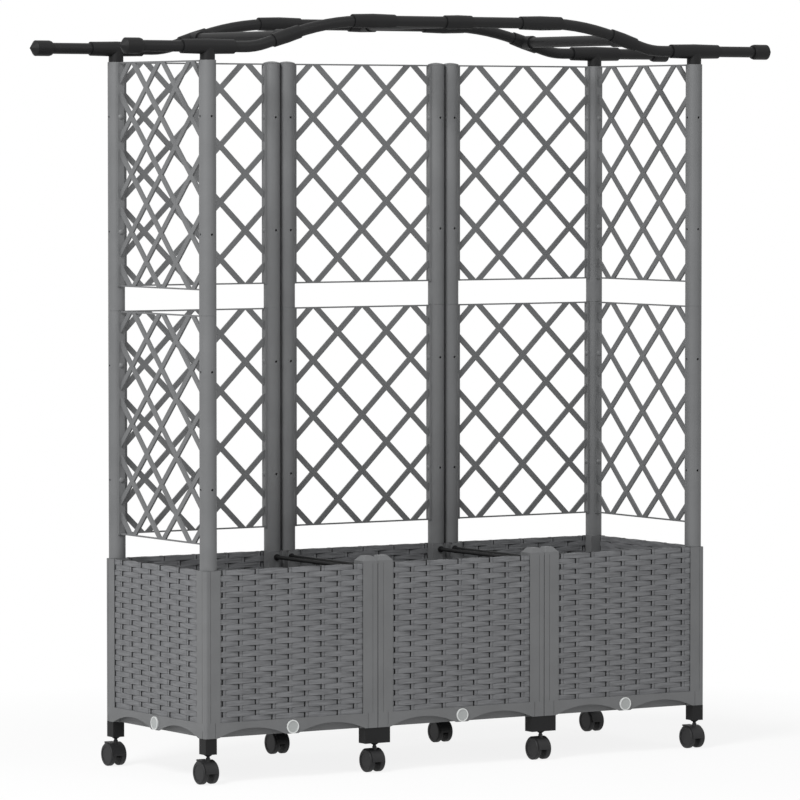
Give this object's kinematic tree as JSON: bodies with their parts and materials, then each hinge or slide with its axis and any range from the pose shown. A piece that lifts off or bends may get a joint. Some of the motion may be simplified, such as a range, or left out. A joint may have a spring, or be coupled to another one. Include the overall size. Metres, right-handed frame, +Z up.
{
  "type": "trellis planter",
  "caption": "Rolling raised planter box of woven-look modules with lattice trellises on the back and both ends, round posts and an arched top rail with crossbars, on swivel casters.",
  "frame": {"origin": "on the floor, under the middle of the row of three modules", "axes": "+X along the front towards the right end, +Y from the front to the back, +Z up"},
  "size_m": [1.558, 0.4187, 1.5157],
  "materials": {
    "grey_plastic": "injection moulded polypropylene, matte",
    "black_plastic": "injection moulded fittings, satin",
    "coated_tube": "powder coated steel tube, satin",
    "stem_steel": "zinc plated",
    "caster_plastic": "moulded nylon, half gloss",
    "plug_plastic": "translucent moulded plastic"
  },
  "bodies": {
    "planter": {"base_tray_left": "grey_plastic", "base_tray_middle": "grey_plastic", "base_tray_right": "grey_plastic", "columns_lower": "grey_plastic", "columns_upper": "grey_plastic", "wall_front_left": "grey_plastic", "wall_front_middle": "grey_plastic", "wall_front_right": "grey_plastic", "wall_back_left": "grey_plastic", "wall_back_middle": "grey_plastic", "wall_back_right": "grey_plastic", "wall_end_left": "grey_plastic", "wall_end_right": "grey_plastic", "top_caps": "grey_plastic", "posts_lower": "grey_plastic", "posts_upper": "grey_plastic", "trellis_left": "grey_plastic", "trellis_right": "grey_plastic", "trellis_back_left": "grey_plastic", "trellis_back_middle": "grey_plastic", "trellis_back_right": "grey_plastic", "trellis_screws": "grey_plastic", "tie_rods": "black_plastic", "feet": "black_plastic", "rail_sleeves": "black_plastic", "rail_end_caps": "black_plastic", "post_tees": "black_plastic", "cross_tees": "black_plastic", "rail_bent_tubes": "coated_tube", "rail_centre_tubes": "coated_tube", "crossbars": "coated_tube", "caster_stems": "stem_steel"},
    "caster_front_left": {"caster_hood_front_left": "caster_plastic"},
    "wheels_front_left": {"caster_wheels_front_left": "caster_plastic"},
    "lever_front_left": {"brake_lever_front_left": "caster_plastic"},
    "caster_front_middle_left": {"caster_hood_front_middle_left": "caster_plastic"},
    "wheels_front_middle_left": {"caster_wheels_front_middle_left": "caster_plastic"},
    "caster_front_middle_right": {"caster_hood_front_middle_right": "caster_plastic"},
    "wheels_front_middle_right": {"caster_wheels_front_middle_right": "caster_plastic"},
    "caster_front_right": {"caster_hood_front_right": "caster_plastic"},
    "wheels_front_right": {"caster_wheels_front_right": "caster_plastic"},
    "lever_front_right": {"brake_lever_front_right": "caster_plastic"},
    "caster_back_left": {"caster_hood_back_left": "caster_plastic"},
    "wheels_back_left": {"caster_wheels_back_left": "caster_plastic"},
    "lever_back_left": {"brake_lever_back_left": "caster_plastic"},
    "caster_back_middle_left": {"caster_hood_back_middle_left": "caster_plastic"},
    "wheels_back_middle_left": {"caster_wheels_back_middle_left": "caster_plastic"},
    "caster_back_middle_right": {"caster_hood_back_middle_right": "caster_plastic"},
    "wheels_back_middle_right": {"caster_wheels_back_middle_right": "caster_plastic"},
    "caster_back_right": {"caster_hood_back_right": "caster_plastic"},
    "wheels_back_right": {"caster_wheels_back_right": "caster_plastic"},
    "lever_back_right": {"brake_lever_back_right": "caster_plastic"},
    "plug_front_left": {"drain_plug_front_left": "plug_plastic"},
    "plug_front_middle": {"drain_plug_front_middle": "plug_plastic"},
    "plug_front_right": {"drain_plug_front_right": "plug_plastic"},
    "plug_back_left": {"drain_plug_back_left": "plug_plastic"},
    "plug_back_middle": {"drain_plug_back_middle": "plug_plastic"},
    "plug_back_right": {"drain_plug_back_right": "plug_plastic"},
    "plug_left_end": {"drain_plug_left_end": "plug_plastic"},
    "plug_right_end": {"drain_plug_right_end": "plug_plastic"}
  },
  "joints": [
    {"name": "swivel_front_left", "type": "hinge", "parent": "planter", "child": "caster_front_left", "pos_m": [-0.58535, -0.18535, 0.05], "axis": [0, 0, 1], "continuous": true},
    {"name": "roll_front_left", "type": "hinge", "parent": "caster_front_left", "child": "wheels_front_left", "pos_m": [-0.58535, -0.17735, 0.023], "axis": [1, 0, 0], "continuous": true},
    {"name": "brake_front_left", "type": "hinge", "parent": "caster_front_left", "child": "lever_front_left", "pos_m": [-0.58535, -0.16835, 0.041], "axis": [-1, 0, 0], "range_deg": [0, 18]},
    {"name": "swivel_front_middle_left", "type": "hinge", "parent": "planter", "child": "caster_front_middle_left", "pos_m": [-0.2, -0.18535, 0.05], "axis": [0, 0, 1], "continuous": true},
    {"name": "roll_front_middle_left", "type": "hinge", "parent": "caster_front_middle_left", "child": "wheels_front_middle_left", "pos_m": [-0.2, -0.17735, 0.023], "axis": [1, 0, 0], "continuous": true},
    {"name": "swivel_front_middle_right", "type": "hinge", "parent": "planter", "child": "caster_front_middle_right", "pos_m": [0.2, -0.18535, 0.05], "axis": [0, 0, 1], "continuous": true},
    {"name": "roll_front_middle_right", "type": "hinge", "parent": "caster_front_middle_right", "child": "wheels_front_middle_right", "pos_m": [0.2, -0.17735, 0.023], "axis": [1, 0, 0], "continuous": true},
    {"name": "swivel_front_right", "type": "hinge", "parent": "planter", "child": "caster_front_right", "pos_m": [0.58535, -0.18535, 0.05], "axis": [0, 0, 1], "continuous": true},
    {"name": "roll_front_right", "type": "hinge", "parent": "caster_front_right", "child": "wheels_front_right", "pos_m": [0.58535, -0.17735, 0.023], "axis": [1, 0, 0], "continuous": true},
    {"name": "brake_front_right", "type": "hinge", "parent": "caster_front_right", "child": "lever_front_right", "pos_m": [0.58535, -0.16835, 0.041], "axis": [-1, 0, 0], "range_deg": [0, 18]},
    {"name": "swivel_back_left", "type": "hinge", "parent": "planter", "child": "caster_back_left", "pos_m": [-0.58535, 0.18535, 0.05], "axis": [0, 0, 1], "continuous": true},
    {"name": "roll_back_left", "type": "hinge", "parent": "caster_back_left", "child": "wheels_back_left", "pos_m": [-0.58535, 0.19335, 0.023], "axis": [1, 0, 0], "continuous": true},
    {"name": "brake_back_left", "type": "hinge", "parent": "caster_back_left", "child": "lever_back_left", "pos_m": [-0.58535, 0.20235, 0.041], "axis": [-1, 0, 0], "range_deg": [0, 18]},
    {"name": "swivel_back_middle_left", "type": "hinge", "parent": "planter", "child": "caster_back_middle_left", "pos_m": [-0.2, 0.18535, 0.05], "axis": [0, 0, 1], "continuous": true},
    {"name": "roll_back_middle_left", "type": "hinge", "parent": "caster_back_middle_left", "child": "wheels_back_middle_left", "pos_m": [-0.2, 0.19335, 0.023], "axis": [1, 0, 0], "continuous": true},
    {"name": "swivel_back_middle_right", "type": "hinge", "parent": "planter", "child": "caster_back_middle_right", "pos_m": [0.2, 0.18535, 0.05], "axis": [0, 0, 1], "continuous": true},
    {"name": "roll_back_middle_right", "type": "hinge", "parent": "caster_back_middle_right", "child": "wheels_back_middle_right", "pos_m": [0.2, 0.19335, 0.023], "axis": [1, 0, 0], "continuous": true},
    {"name": "swivel_back_right", "type": "hinge", "parent": "planter", "child": "caster_back_right", "pos_m": [0.58535, 0.18535, 0.05], "axis": [0, 0, 1], "continuous": true},
    {"name": "roll_back_right", "type": "hinge", "parent": "caster_back_right", "child": "wheels_back_right", "pos_m": [0.58535, 0.19335, 0.023], "axis": [1, 0, 0], "continuous": true},
    {"name": "brake_back_right", "type": "hinge", "parent": "caster_back_right", "child": "lever_back_right", "pos_m": [0.58535, 0.20235, 0.041], "axis": [-1, 0, 0], "range_deg": [0, 18]},
    {"name": "plug_front_left_pull", "type": "slide", "parent": "planter", "child": "plug_front_left", "axis": [0, -1, 0], "range_m": [0, 0.02]},
    {"name": "plug_front_middle_pull", "type": "slide", "parent": "planter", "child": "plug_front_middle", "axis": [0, -1, 0], "range_m": [0, 0.02]},
    {"name": "plug_front_right_pull", "type": "slide", "parent": "planter", "child": "plug_front_right", "axis": [0, -1, 0], "range_m": [0, 0.02]},
    {"name": "plug_back_left_pull", "type": "slide", "parent": "planter", "child": "plug_back_left", "axis": [0, 1, 0], "range_m": [0, 0.02]},
    {"name": "plug_back_middle_pull", "type": "slide", "parent": "planter", "child": "plug_back_middle", "axis": [0, 1, 0], "range_m": [0, 0.02]},
    {"name": "plug_back_right_pull", "type": "slide", "parent": "planter", "child": "plug_back_right", "axis": [0, 1, 0], "range_m": [0, 0.02]},
    {"name": "plug_left_end_pull", "type": "slide", "parent": "planter", "child": "plug_left_end", "axis": [-1, 0, 0], "range_m": [0, 0.02]},
    {"name": "plug_right_end_pull", "type": "slide", "parent": "planter", "child": "plug_right_end", "axis": [1, 0, 0], "range_m": [0, 0.02]}
  ]
}
